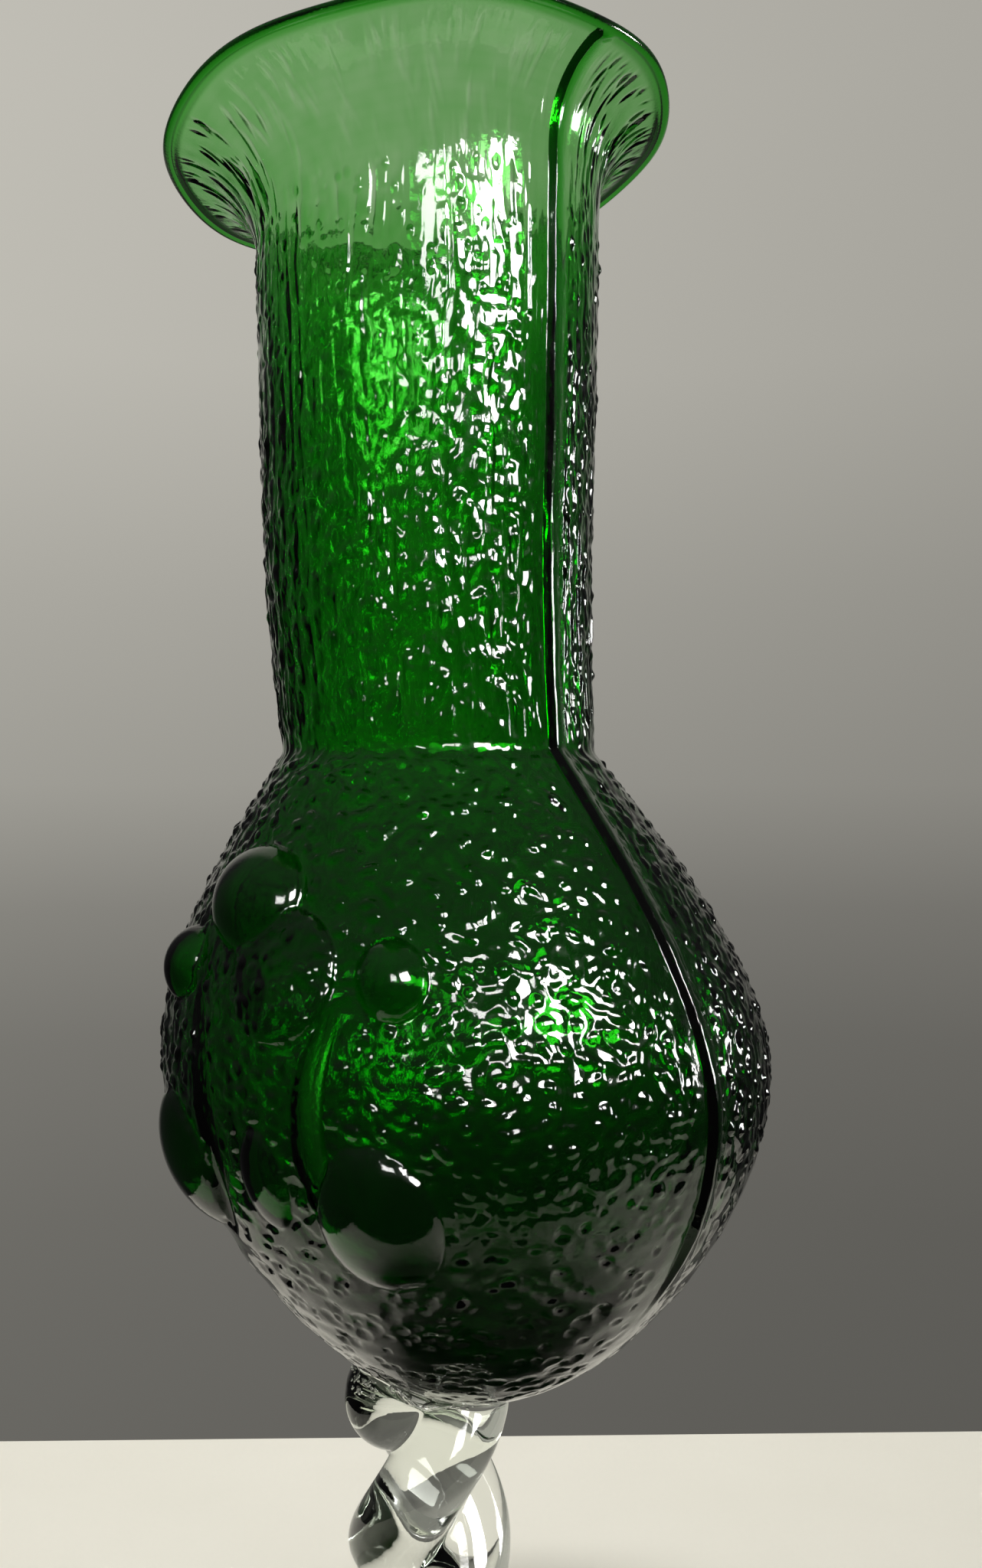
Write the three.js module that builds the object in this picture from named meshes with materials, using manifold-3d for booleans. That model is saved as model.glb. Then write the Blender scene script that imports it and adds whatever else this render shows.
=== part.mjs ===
// Tall glass vase: a green vessel blown in a two-part mould, joined hot to a clear twisted stem
// and a clear foot. Millimetres, +Z up. The origin is the centre of the foot's underside, on the
// axis of the stem, and azimuth 0 is the side that faces -Y.
import * as THREE from "three";
import { mergeVertices } from "three/addons/utils/BufferGeometryUtils.js";
import Module from "manifold-3d";

const wasm = await Module();
wasm.setup();

const { degToRad, lerp, smoothstep } = THREE.MathUtils;

// Foot
const footRadius = 64;
const footEdgeThickness = 7;
const footHeight = 24;
const footNeckRadius = 20;

// Stem: two thick strands fused along the axis and twisted right-handed
const stemTop = 138;
const strandRadius = 16;
const strandOffset = 10.4;
const stemPitch = 102;
const twistEnd = 114;
const collarHeight = 46;

// Gather: a flattened pad of glass between the stem and the bulb, with one side up
const gatherReach = [24, 18, 11];
const gatherTilt = 20;
const gatherCentre = [-2, 0, 119];

// Vessel: heights above the table, radii of the outer wall
const bulbBottom = 109;
const widestHeight = 221;
const widestRadius = 96;
const creaseHeight = 318;
const creaseRadius = 50.8;
const neckTopHeight = 476;
const neckTopRadius = 55.4;
const lipHeight = 508;
const lipRadius = 77.4;
const beadRadius = 1.7;
const bulbWall = 4.5;
const neckWall = 3.9;
const lipWall = 1.7;

// Hand-made lean: the bulb sits beside the stem's axis, and the lip is tilted and a little wavy
const bulbOffset = 15.5;
const neckOffset = -0.3;
const lipShift = -3;
const lipTilt = 0.116;
const lipWave = 0.7;
const lipWaves = 7;

// Mould seams: two fins that rise out of the lower bulb and run to the lip
const seamAzimuths = [45, 225];
const seamHeight = 1.7;
const seamWidth = 3.2;
const seamStart = 150;
const seamFull = 184;

// Relief of one mould half
const reliefAzimuth = -35.5;
const reliefHalfSpan = 40;
const grooveDepth = 3.2;
const grooveWidth = 9;
const loneBossAzimuth = 108;

// How far the inner wall follows the swellings, as it does when glass is blown into them
const hollowShare = 0.85;

const jointGap = 0.3;

// Joins rings of equally many points, turning anticlockwise from below to above, into one
// closed body, with a fan from a tip to each end ring.
function loft(rings, firstTip, lastTip) {
  const count = rings[0].length;
  const points = [...rings.flat(), firstTip, lastTip];
  const top = (rings.length - 1) * count;
  const faces = [];
  for (let i = 0; i < count; i++) {
    const j = (i + 1) % count;
    faces.push(points.length - 2, j, i);
    for (let row = 0; row < top; row += count) {
      faces.push(row + i, row + j, row + count + j);
      faces.push(row + i, row + count + j, row + count + i);
    }
    faces.push(points.length - 1, top + i, top + j);
  }
  return new THREE.BufferGeometry().setFromPoints(points).setIndex(faces);
}

function solid(geometry) {
  const bare = new THREE.BufferGeometry();
  bare.setAttribute("position", geometry.getAttribute("position"));
  bare.setIndex(geometry.index);
  const merged = mergeVertices(bare, 1e-4);
  return new wasm.Manifold(
    new wasm.Mesh({
      numProp: 3,
      vertProperties: merged.attributes.position.array,
      triVerts: new Uint32Array(merged.index.array),
    }),
  );
}

function geometryOf(body) {
  const mesh = body.getMesh();
  const geometry = new THREE.BufferGeometry();
  geometry.setAttribute("position", new THREE.BufferAttribute(mesh.vertProperties, 3));
  geometry.setIndex(new THREE.BufferAttribute(mesh.triVerts, 1));
  geometry.computeVertexNormals();
  return geometry;
}

// The outer outline in cubic stretches, from the bulb's lowest point to the lip: each has two
// handles and an end as [radius, height], and the number of rows that it is divided into.
const vesselStretches = [
  { rows: 5, to: [[12, bulbBottom], [42, 128], [51, 136]] },
  { rows: 13, to: [[70.6, 153.3], [widestRadius, 192], [widestRadius, widestHeight]] },
  { rows: 17, to: [[widestRadius, 253], [69.8, 289], [52.8, 313.5]] },
  { rows: 2, to: [[51.2, 315.6], [creaseRadius, 316], [creaseRadius, creaseHeight]] },
  { rows: 5, to: [[51.6, 340], [neckTopRadius, 430], [neckTopRadius, neckTopHeight]] },
  { rows: 7, to: [[neckTopRadius, 494], [62, 504.5], [lipRadius, lipHeight]] },
];

// Stations of the outline: the point, the outward direction of the wall there, and the length
// of wall that lies below it. A station that ends a stretch is kept on the inner wall too.
function vesselOutline() {
  const stations = [];
  let start = new THREE.Vector2(0, bulbBottom);
  let run = 0;
  for (const { rows, to } of vesselStretches) {
    const [first, second, end] = to.map(([radius, height]) => new THREE.Vector2(radius, height));
    const curve = new THREE.CubicBezierCurve(start, first, second, end);
    for (let row = 1; row <= rows; row++) {
      const at = curve.getPoint(row / rows);
      const along = curve.getTangent(row / rows);
      run += at.distanceTo(curve.getPoint((row - 1) / rows));
      const out = new THREE.Vector2(along.y, -along.x);
      stations.push({ at, out, run, inner: row % 4 === 0 || row === rows });
    }
    start = end;
  }
  return stations;
}

const outline = vesselOutline();

function runAt(height) {
  const above = outline.findIndex(({ at }) => at.y > height);
  const [low, high] = [outline[above - 1], outline[above]];
  return lerp(low.run, high.run, (height - low.at.y) / (high.at.y - low.at.y));
}

// Swellings of the wall: a ball over a flat tongue, small bosses beside them, and ovals below.
// The other mould half has a low boss by itself.
const ball = 0.62;
const tongue = 0.3;
const swellings = [
  { azimuth: -42.5, height: 275.5, width: 34, tall: 32, proud: 9, form: ball },
  { azimuth: -31, height: 257, width: 35, tall: 37, proud: 3.4, form: tongue },
  { azimuth: -9.5, height: 257.5, width: 18, tall: 21, proud: 6.6, form: ball },
  { azimuth: -61.5, height: 255.5, width: 18, tall: 22, proud: 6.4, form: ball },
  { azimuth: -34.5, height: 203, width: 15, tall: 28, proud: 3.6, form: ball },
  { azimuth: -14.5, height: 195.5, width: 31.5, tall: 41, proud: 7, form: ball },
  { azimuth: -61, height: 199, width: 31.5, tall: 40, proud: 6.6, form: ball },
  { azimuth: loneBossAzimuth, height: 215, width: 36, tall: 34, proud: 4, form: ball },
].map((swelling) => ({ ...swelling, run: runAt(swelling.height) }));

// A groove curves down each side of the ovals' middle, nearest to it halfway.
const groove = { middle: -35.5, from: runAt(252), to: runAt(180), nearest: 11.5, bow: 5.5 };

// A dome over a circle of radius 1: a ball's for form 0.5, and flatter with a steeper edge below.
const dome = (x, y, form) => Math.max(0, 1 - x * x - y * y) ** form;

// The highest swelling at a place, where each is as wide and as tall as given times the grow.
function swellingAt(degrees, station, grow, formOf) {
  const across = degToRad(1) * station.at.x * 2;
  const heights = swellings.map(({ azimuth, width, tall, run, proud, form }) => {
    const x = ((degrees - azimuth) * across) / (width * grow);
    return proud * dome(x, (2 * (station.run - run)) / (tall * grow), formOf(form));
  });
  return Math.max(...heights);
}

// How far the relief stands out from the wall, and how far the groove is sunk into it.
function reliefAt(azimuth, station) {
  const proud = swellingAt(azimuth, station, 1, (form) => form);
  const across = degToRad(1) * station.at.x;
  const along = (2 * (station.run - groove.to)) / (groove.from - groove.to) - 1;
  const aside = Math.abs(azimuth - groove.middle) - groove.nearest - groove.bow * along ** 2;
  return proud > 0 ? proud : -grooveDepth * dome((aside * across) / (grooveWidth / 2), along, ball);
}

// How far the inner wall is drawn out into the swellings, with softer edges than they have.
const hollowAt = (azimuth, station) => hollowShare * swellingAt(azimuth, station, 1.15, () => 1.5);

// Columns of the vessel's mesh: close together over the relief and the lone boss, four on each
// seam, which keep their distance in millimetres from its middle, and far apart elsewhere.
function vesselColumns() {
  const columns = [];
  const fill = (from, to, degrees) => {
    const count = Math.round((to - from) / degrees);
    for (let i = 0; i < count; i++) columns.push({ azimuth: lerp(from, to, i / count), shift: 0 });
  };
  const seam = (azimuth) => {
    fill(azimuth - 5, azimuth, 5);
    for (const share of [-0.5, -0.2, 0.2, 0.5]) {
      columns.push({ azimuth, shift: share * seamWidth, onSeam: Math.abs(share) < 0.5 });
    }
  };
  const [front, back] = seamAzimuths;
  const reliefEnds = [reliefAzimuth - reliefHalfSpan, reliefAzimuth + reliefHalfSpan];
  const bossEnds = [loneBossAzimuth - 13, loneBossAzimuth + 13];
  fill(...reliefEnds, 2.7);
  fill(reliefEnds[1], front - 5, 9);
  seam(front);
  fill(front + 5, bossEnds[0], 9);
  fill(...bossEnds, 4.4);
  fill(bossEnds[1], back - 5, 9);
  seam(back);
  fill(back + 5, 360 + reliefEnds[0], 9);
  return columns;
}

const columns = vesselColumns();

// A place in the leaning vessel, from the radius, azimuth and height that it has in a true one.
function place(radius, azimuth, height) {
  const angle = degToRad(azimuth);
  const across = radius * Math.sin(angle);
  const lean = lerp(bulbOffset, neckOffset, smoothstep(height, 150, 390));
  const atLip = smoothstep(height, neckTopHeight, lipHeight);
  const tilt = lipTilt * across * smoothstep(height, 430, lipHeight);
  const wave = lipWave * Math.sin(lipWaves * angle) * atLip;
  return new THREE.Vector3(
    lean + lipShift * atLip + across,
    -radius * Math.cos(angle),
    height + tilt + wave,
  );
}

function ring(radiusAndHeight) {
  return columns.map((column) => {
    const [radius, height] = radiusAndHeight(column);
    const turn = THREE.MathUtils.radToDeg(column.shift / Math.max(radius, 25));
    return place(radius, column.azimuth + turn, height);
  });
}

// The moulded outer wall, moved out by grow.
function outerRings(grow) {
  return outline.map((station) => {
    const { at, out } = station;
    const seam = seamHeight * smoothstep(at.y, seamStart, seamFull);
    return ring(({ azimuth, onSeam }) => {
      const proud = grow + (onSeam ? seam : reliefAt(azimuth, station));
      return [at.x + proud * out.x, at.y + proud * out.y];
    });
  });
}

// The thickened, fire-polished edge, from the outer wall round to the inner one.
function beadRings() {
  const { at, out } = outline.at(-1);
  const along = new THREE.Vector2(-out.y, out.x);
  const middle = at.clone().addScaledVector(out, -lipWall / 2).addScaledVector(along, beadRadius * 0.6);
  return [100, 60, 20, -20, -60, -100].map((turn) => {
    const angle = degToRad(turn);
    const point = middle.clone().addScaledVector(along, beadRadius * Math.cos(angle));
    point.addScaledVector(out, beadRadius * Math.sin(angle));
    return ring(() => [point.x, point.y]);
  });
}

// The smooth inner wall, from the lip down.
function innerRings() {
  const stations = outline.slice(0, -1).filter(({ inner }) => inner);
  return stations.reverse().map((station) => {
    const { at, out } = station;
    const upToNeck = lerp(bulbWall, neckWall, smoothstep(at.y, 260, 330));
    const wall = lerp(upToNeck, lipWall, smoothstep(at.y, 420, 500));
    return ring(({ azimuth, onSeam }) => {
      const depth = onSeam ? wall : wall - hollowAt(azimuth, station);
      return [at.x - depth * out.x, at.y - depth * out.y];
    });
  });
}

const onAxis = (height) => place(0, 0, height);

function blownVessel() {
  const rings = [...outerRings(0), ...beadRings(), ...innerRings()];
  return loft(rings, onAxis(bulbBottom), onAxis(bulbBottom + bulbWall));
}

// The bulb's underside and the joint gap round it, which the clear glass below is shaped to.
function undersideWithGap() {
  const rings = outerRings(jointGap).filter((_, i) => outline[i].at.y < stemTop + 40);
  return solid(loft(rings, onAxis(bulbBottom - jointGap), onAxis(stemTop + 40)));
}

// Two fused round strands, side by side along the given direction.
function strandRing(height, radius, offset, direction, points) {
  const strands = [];
  for (let i = 0; i < points; i++) {
    const turn = (i * 2 * Math.PI) / points;
    const [along, across] = [offset * Math.cos(turn), offset * Math.sin(turn)];
    const reach = Math.abs(along) + Math.sqrt(radius * radius - across * across);
    const angle = turn + direction;
    strands.push(new THREE.Vector3(reach * Math.cos(angle), reach * Math.sin(angle), height));
  }
  return strands;
}

// The strands part above the foot's collar, turn about each other, and round off at the top.
function stemBody() {
  const rows = 30;
  const bottom = footHeight + jointGap;
  const rings = [];
  for (let row = 0; row <= rows; row++) {
    const height = lerp(bottom, stemTop, row / rows);
    const parted = smoothstep(height, bottom, collarHeight);
    const closing = Math.max(0, (height - twistEnd) / (stemTop - twistEnd));
    const radius = lerp(footNeckRadius - 2, strandRadius, parted) * Math.sqrt(1 - 0.75 * closing ** 2);
    const offset = strandOffset * parted * (1 - 0.5 * closing);
    const direction = (2 * Math.PI * (Math.min(height, twistEnd) - twistEnd)) / stemPitch;
    rings.push(strandRing(height, radius, offset, direction, 24));
  }
  return solid(loft(rings, new THREE.Vector3(0, 0, bottom), new THREE.Vector3(0, 0, stemTop)));
}

// The pad that holds the bulb, before it is pressed against it.
function gatherBody(grow) {
  const geometry = new THREE.SphereGeometry(1, 20, 12);
  geometry.rotateX(Math.PI / 2);
  geometry.scale(...gatherReach.map((reach) => reach + grow));
  geometry.rotateY(degToRad(gatherTilt));
  return solid(geometry.translate(...gatherCentre));
}

function footGeometry() {
  const edge = footEdgeThickness / 2;
  const profile = new THREE.Path();
  profile.moveTo(0, 0);
  profile.lineTo(footRadius - edge, 0);
  profile.absarc(footRadius - edge, edge, edge, -Math.PI / 2, Math.PI / 3, false);
  profile.bezierCurveTo(44, 10, 25, 11, footNeckRadius, footHeight - 3);
  profile.lineTo(footNeckRadius - 2, footHeight);
  profile.lineTo(0, footHeight);
  return new THREE.LatheGeometry(profile.getPoints(4), 48).rotateX(Math.PI / 2);
}

const greenGlass = new THREE.MeshStandardMaterial({
  color: 0x0c5a1c,
  roughness: 0.05,
  metalness: 0,
  transparent: true,
  opacity: 0.8,
});
const clearGlass = new THREE.MeshStandardMaterial({
  color: 0xdfe6dc,
  roughness: 0.03,
  metalness: 0,
  transparent: true,
  opacity: 0.4,
});

const group = new THREE.Group();

function addPiece(name, geometry, material) {
  const mesh = new THREE.Mesh(geometry, material);
  mesh.name = name;
  group.add(mesh);
}

const underside = undersideWithGap();
const gather = gatherBody(0).subtract(underside);
const stem = stemBody().subtract(underside).subtract(gatherBody(jointGap));

addPiece("blown_vessel", blownVessel(), greenGlass);
addPiece("joint_gather", geometryOf(gather), clearGlass);
addPiece("twisted_stem", geometryOf(stem), clearGlass);
addPiece("cast_foot", footGeometry(), clearGlass);

export default group;
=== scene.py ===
"""Studio view of a tall vase: a green vessel blown in a two-part mould, textured like bark on the
neck and studded on the bulb, on a clear twisted stem and foot. Lengths are millimetres in the
vase's frame, as in the model that it stands for, and become metres when a mesh is made."""
from itertools import product
from math import cos, pi, radians, sin

import bmesh
import bpy
import numpy as np
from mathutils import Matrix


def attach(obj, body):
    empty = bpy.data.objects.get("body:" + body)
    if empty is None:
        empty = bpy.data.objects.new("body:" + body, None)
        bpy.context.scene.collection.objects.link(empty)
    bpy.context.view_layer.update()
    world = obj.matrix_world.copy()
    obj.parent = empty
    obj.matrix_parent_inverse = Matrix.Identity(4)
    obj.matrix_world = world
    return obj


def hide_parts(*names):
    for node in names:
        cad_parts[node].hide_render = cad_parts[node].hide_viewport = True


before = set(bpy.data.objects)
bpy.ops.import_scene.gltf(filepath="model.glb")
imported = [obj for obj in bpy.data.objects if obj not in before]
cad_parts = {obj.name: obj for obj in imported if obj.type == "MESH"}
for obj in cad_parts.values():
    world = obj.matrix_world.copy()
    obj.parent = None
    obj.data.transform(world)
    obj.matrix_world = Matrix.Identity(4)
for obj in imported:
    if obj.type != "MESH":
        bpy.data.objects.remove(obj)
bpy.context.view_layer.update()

MM = 0.001
COARSER = 1

# Camera, table and lamp, in metres, with the lens in millimetres and the table's turn in degrees
CAMERA_AT = (0.01977, -0.380, 0.306)
CAMERA_LENS = 27.04
TABLE_BACK = 0.1737
TABLE_FRONT = -0.22
TABLE_LEFT = -0.235
TABLE_RIGHT = 0.45
TABLE_TURN = 1.05
TABLE_THICKNESS = 0.03
TABLE_GAP = 0.0001
TABLE_BEVEL = 0.002
CEILING_AT = (-0.12, 0.30, 1.6)
CEILING_SIZE = 0.45
CEILING_POWER = 30

# A plain grey wall behind the vase, with painted light that makes it brighter toward the top as if
# lit from above, and the dim room on the viewer's side: brightness against the sine of the angle
# above the horizon
WALL = [
    (-0.47, 0.118), (-0.33, 0.13), (-0.2, 0.155), (-0.1, 0.2),
    (0.0, 0.29), (0.15, 0.34), (0.33, 0.43), (0.5, 0.45),
]
ROOM = [(-0.6, 0.02), (-0.1, 0.03), (0.2, 0.05), (0.9, 0.12)]
WALL_TINT = (1.03, 1.0, 0.9)
# How much painted shade darkens the wall to the right, the degrees to each side over which it ends,
# and how much of it still shows through the glass beyond that
WALL_FALL = 0.4
WALL_ENDS = (24, 50)
WALL_THROUGH = 0.6
# The even light that falls on the table
ROOM_LIGHT = 0.06
# Windows that the glass reflects: azimuth from the viewer's side toward the right, angle above
# the horizon, half width and half height in degrees, and brightness
WINDOWS = [
    (8, 25, 8, 4.5, 19),
    (45, 27, 12, 6.5, 58),
    (100, 4, 6, 5, 22),
]
# The degrees over which a window's edges and the glow around it fade, and the glow's strength
WINDOW_EDGE = 3
WINDOW_GLOW = 12
GLOW_SHARE = 0.014
WINDOW_TINT = (1, 0.99, 0.97, 1)

# The vessel's outer outline: radius and height where it is widest, at the crease under the neck,
# at the neck's top and at the lip
BULB_BOTTOM = 109
WIDEST = (96, 221)
CREASE = (50.8, 318)
NECK_TOP = (55.4, 476)
LIP = (77.4, 508)
# Its curves from the lowest place up: the two places that each bends toward, and its end
OUTLINE = [
    [(12, BULB_BOTTOM), (42, 128), (51, 136)],
    [(70.6, 153.3), (WIDEST[0], 192), WIDEST],
    [(WIDEST[0], 253), (69.8, 289), (52.8, 313.5)],
    [(51.2, 315.6), (CREASE[0], 316), CREASE],
    [(51.6, 340), (NECK_TOP[0], 430), NECK_TOP],
    [(NECK_TOP[0], 494), (62, 504.5), LIP],
]
# The lip's rounded edge: its radius, how far it stands ahead of the wall's end against that
# radius, and how far it turns each way, in degrees
BEAD_RADIUS = 1.6
BEAD_AHEAD = 0.6
BEAD_TURN = 100

# The leaning axis, and the lip's shift, tilt and waves
BULB_OFFSET = 15.5
NECK_OFFSET = -0.3
LEAN_SPAN = (150, 390)
LIP_SHIFT = -3
LIP_TILT = 0.116
TILT_SPAN = (430, LIP[1])
LIP_WAVE = 0.7
LIP_WAVES = 7

# Thickness of the wall, and the heights between which it changes
BULB_WALL = 4.9
NECK_WALL = 3.9
LIP_WALL = 1.7
NECK_WALL_SPAN = (260, 330)
LIP_WALL_SPAN = (420, 500)
FLOOR_EXTRA = 3.5
FLOOR_SPAN = (125, 200)
# Ripples inside, higher in the bulb than in the neck, which keep off the floor and the lip, and
# lumps on the back of the bulb, which starts where the cosine from the back passes these values
RIPPLE = (0.4, 0.12)
RIPPLES_START = (125, 160)
RIPPLES_END = (480, 500)
BULB_TO_NECK = (290, 340)
BACK_LUMP = 0.7
BACK_STARTS = (-0.2, 0.5)
# A thinner place on the front of the bulb: how much, its azimuth and height, and its reach
THIN = 1.3
THIN_AT = (20, 245)
THIN_REACH = (24, 30)

# Raised relief of the front mould half: azimuth, height, width, tallness, how proud, and form,
# where 0.5 is a ball's dome, more is softer at its edge, and less is a flat top with a steep edge
RELIEF = [
    (-42.5, 275.5, 34.5, 32.5, 8.8, 0.72),
    (-9.5, 257.5, 19.5, 22.5, 6.4, 0.85),
    (-61.5, 255.5, 18.5, 22.5, 6.2, 0.75),
    (-34.5, 203, 16, 29, 3.4, 0.75),
    (-14.5, 195.5, 34, 44, 6.8, 0.85),
    (-61, 199, 33, 42, 6.4, 0.8),
    (108, 215, 36, 34, 3.9, 0.7),
]
# A flat tongue under the ball, which is textured where the rest of the relief is smooth
TONGUE = (-31, 257, 35, 37, 3.2, 0.3)
SMOOTH_ABOVE = (0.4, 1.8)
# Hollows behind the relief, against its own size and how proud it is
HOLLOW_SIZE = 1.05
HOLLOW_DEPTH = 1.0
HOLLOW_FORM = 1.4
# Crescent grooves beside the relief: azimuth of the middle and the side to which each bows, with
# their bow in degrees, their form, and how soon the glass is smooth in them
GROOVES = [(-24, 1), (-47, -1)]
GROOVE_TOP = 252
GROOVE_FOOT = 180
GROOVE_DEPTH = 2.9
GROOVE_WIDTH = 10
GROOVE_BOW = 5.5
GROOVE_FORM = 0.6
GROOVE_SMOOTH = 0.3

# Azimuth of each mould seam, and the side to which its fin slopes gently
SEAMS = [(43.8, 1), (226.2, -1)]
SEAM_HEIGHT = 1.95
SEAM_STARTS = (150, 184)
# Widths of its steep and gentle flanks, how far it sways, and how uneven its height is
SEAM_STEEP = 1.6
SEAM_GENTLE = 8
SEAM_SWAY = 0.3
SEAM_UNEVEN = 0.15
# How far beside it the texture is fainter, and by which share
SEAM_CALM = 7.5
CALM_SHARE = 0.85

# Bark on the neck: ridges around it, how far they wander, in radians of a ridge's own turn, which
# part of a ridge's wave and of the noise counts as crest and slot, how proud the rough cells are,
# and how deep the gaps and the slots between ridges
BARK_RIDGES = 60
BARK_RADIUS = 52
WANDER = 2.4
JITTER = 0.9
RIDGE_SPAN = (-0.9, 0.2)
SLOTS_SPAN = (0.0, 0.6)
LONG_CELLS = 0.4
SHORT_CELLS = 0.5
CELLS_LOW_AND_HIGH = (1.3, 0.5)
CELLS_SPAN = (370, NECK_TOP[1])
CELLS_IN_GAPS = 0.35
GAP_DEPTH = 0.1
SLOT_DEPTH = 0.6
# Kinds of small mark, scattered at random: seed, square millimetres to each mark, width, tallness
# against the width, 1 for proud or -1 for sunk, by how much, form as in RELIEF, and slant
PITS = (11, 60, (1.8, 3.2), (1, 1.5), -1, (0.15, 0.3), 1.2, 0)
NODULES = (12, 90, (2.0, 3.2), (1, 1.6), 1, (0.25, 0.45), 0.9, 0)
DIMPLES = (22, 30, (3, 7), (0.6, 1), -1, (0.25, 0.5), 1.2, 1)
BARK_SPAN = (CREASE[1] + 2, NECK_TOP[1] + 6)
DIMPLES_SPAN = (124, 206)

# Streaks on the flare: square millimetres to each, sizes, slant in radians, and how much of them
# shows at the front, which ends between these degrees
FLARE_RADIUS = 60
STREAK_AREA = 36
STREAK_WIDTH = (1.5, 2.6)
STREAK_LENGTH = (6, 17)
STREAK_DEPTH = (0.3, 0.6)
STREAK_FORM = 1.1
STREAK_SLANT = 0.14
STREAK_SPAN = (NECK_TOP[1] + 2, LIP[1] - 0.5)
STREAKS_IN_FRONT = 0.3
FRONT_ENDS = (25, 60)
FLARE_WAVE = 0.16

# Studs on the bulb, which are stretched in these shares, and the ground of bowls and waves
STUDS_SPAN = (200, CREASE[1] - 3)
STUD_PITCH = 6.2
STUD_SIZE = (2.2, 4.2)
STUD_STRETCH = [1.0, 1.25, 1.7]
STRETCH_SHARES = [0.5, 0.3, 0.2]
STUD_PROUD = (0.12, 0.2)
STUD_FORM = 0.8
STUD_TURN = 0.9
BOWL_DEPTH = 0.85
BOWL_RIDGE = 0.008
LOW_SPAN = (180, 212)
FINE_WAVE = 0.16
BROAD_WAVE = 0.25
LOW_WAVE = 0.3

# Where one texture takes over from the next, how deep the textured wall lies, and how far from
# the bead it starts, as a length of wall
NECK_STARTS = (CREASE[1] - 2, CREASE[1] + 8)
FLARE_STARTS = (NECK_TOP[1] - 2, NECK_TOP[1] + 16)
TEXTURE_STARTS = (120, 130)
TEXTURE_FROM_BEAD = (2, 6)
SETBACK = 0.9
FLARE_SETBACK = 0.5
SETBACK_STARTS = (124, 140)
SETBACK_FROM_BEAD = (0.5, 3)

# The meshes: columns and the length between rows, and how much closer the columns stand over the
# front and on a seam
VESSEL_COLUMNS = 1200
VESSEL_PITCH = 0.6
INNER_STEP = 4
INNER_PITCH = 3.0
FRONT_DENSITY = 0.8
FRONT_HALF = 85
SEAM_DENSITY = 2.6
SEAM_HALF = 2.4

# The stem's two strands, which part above a collar, twist, and close up under the bulb
STEM_TOP = 138
STRAND_RADIUS = 16
STRAND_OFFSET = 10.4
STEM_PITCH = 102
TWIST_END = 114
COLLAR_HEIGHT = 46
RADIUS_CLOSES = 0.75
OFFSET_CLOSES = 0.5
# How round the furrow between them is, and how far they are drawn in for that
FURROW_ROUND = 0.7
FURROW_DRAWN_IN = 0.35
# How far the stem reaches into its neighbours, and the fillet where it meets the bulb
STEM_SUNK = 0.12
MENISCUS = 0.9
# The foot: its rim, the neck and collar that carry the stem, and the hollow under it
FOOT_RADIUS = 64
FOOT_EDGE = 7
FOOT_HEIGHT = 24
FOOT_NECK = 20
FOOT_NECK_HEIGHT = FOOT_HEIGHT - 3
COLLAR_RADIUS = FOOT_NECK - 2
FOOT_HOLLOW_RADIUS = 52
FOOT_HOLLOW = 0.9
# The joint's pad and the round lobe at its left: half axes, turn, and centre across and up
GATHERS = [((24, 18, 11), 20, (-2, 119)), ((16.3, 16.3, 16.3), 0, (-11, 109.5))]
GATHER_BLEND = 2.5
# Heights between which the joint's edge meets the bulb, and the end of the bulb's underside
JOINT_SPAN = (100, 136)
UNDERSIDE_TOP = 150

# Air bubbles trapped just behind the joint's front: place across and up, and size across, deep
# and up
BUBBLES = [
    (-10.2, 118.7, 2.8, 2.0, 2.9),
    (-6.3, 116.9, 3.8, 2.4, 4.6),
    (3.2, 113.6, 9.6, 4.6, 4.4),
    (9.5, 113.0, 1.6, 1.2, 1.3),
    (11.2, 113.6, 1.1, 1.0, 1.0),
    (12.4, 112.6, 1.3, 1.1, 1.2),
    (14.0, 113.2, 0.9, 0.8, 0.9),
]
BUBBLES_SUNK = 0.7
# Froth of small ones in the lobe: where it is, how wide and tall, their size and how deep they lie
FROTH_AT = (-20.5, 119.5)
FROTH_SIZE = (10, 10)
FROTH_BUBBLES = 70
FROTH_BUBBLE = (0.7, 1.9)
FROTH_SUNK = (0.4, 2.5)
FROTH_DEEP = 0.8
FROTH_TALL = (0.7, 1.1)


def smoothstep(x, low, high):
    """From 0 to 1 as x goes from low to high."""
    t = np.clip((x - low) / (high - low), 0, 1)
    return t * t * (3 - 2 * t)


def lerp(a, b, t):
    return a + (b - a) * t


def noise(x, y, z, seed):
    """Smooth gradient noise of about -1 to 1, with one bump or hollow to a unit or so."""
    draw = np.random.default_rng(seed)
    table = draw.permutation(256)
    table = np.concatenate([table, table])
    slopes = draw.normal(size=(256, 3))
    slopes /= np.linalg.norm(slopes, axis=1, keepdims=True)
    x, y, z = np.broadcast_arrays(x, y, z)
    cells = [np.floor(v).astype(np.int64) for v in (x, y, z)]
    parts = [v - c for v, c in zip((x, y, z), cells)]
    fades = [t**3 * (t * (t * 6 - 15) + 10) for t in parts]
    total = np.zeros(x.shape)
    for corner in product((0, 1), repeat=3):
        i, j, k = [(c + step) & 255 for c, step in zip(cells, corner)]
        slope = slopes[table[table[table[i] + j] + k]]
        rise = sum(slope[..., a] * (parts[a] - corner[a]) for a in range(3))
        weight = 1
        for fade, step in zip(fades, corner):
            weight = weight * (fade if step else 1 - fade)
        total += weight * rise
    return total * 1.7


def grain(at, wide, tall, seed):
    """Noise at places x, y, z, with bumps and hollows that wide and tall."""
    x, y, z = at
    return noise(x / wide, y / wide, z / tall, seed)


def on_circle(radius, azimuth):
    """Places across and toward the back at azimuths from the viewer's side to the right."""
    angle = np.radians(azimuth)[None, :]
    return radius * np.sin(angle), -radius * np.cos(angle)


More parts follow.
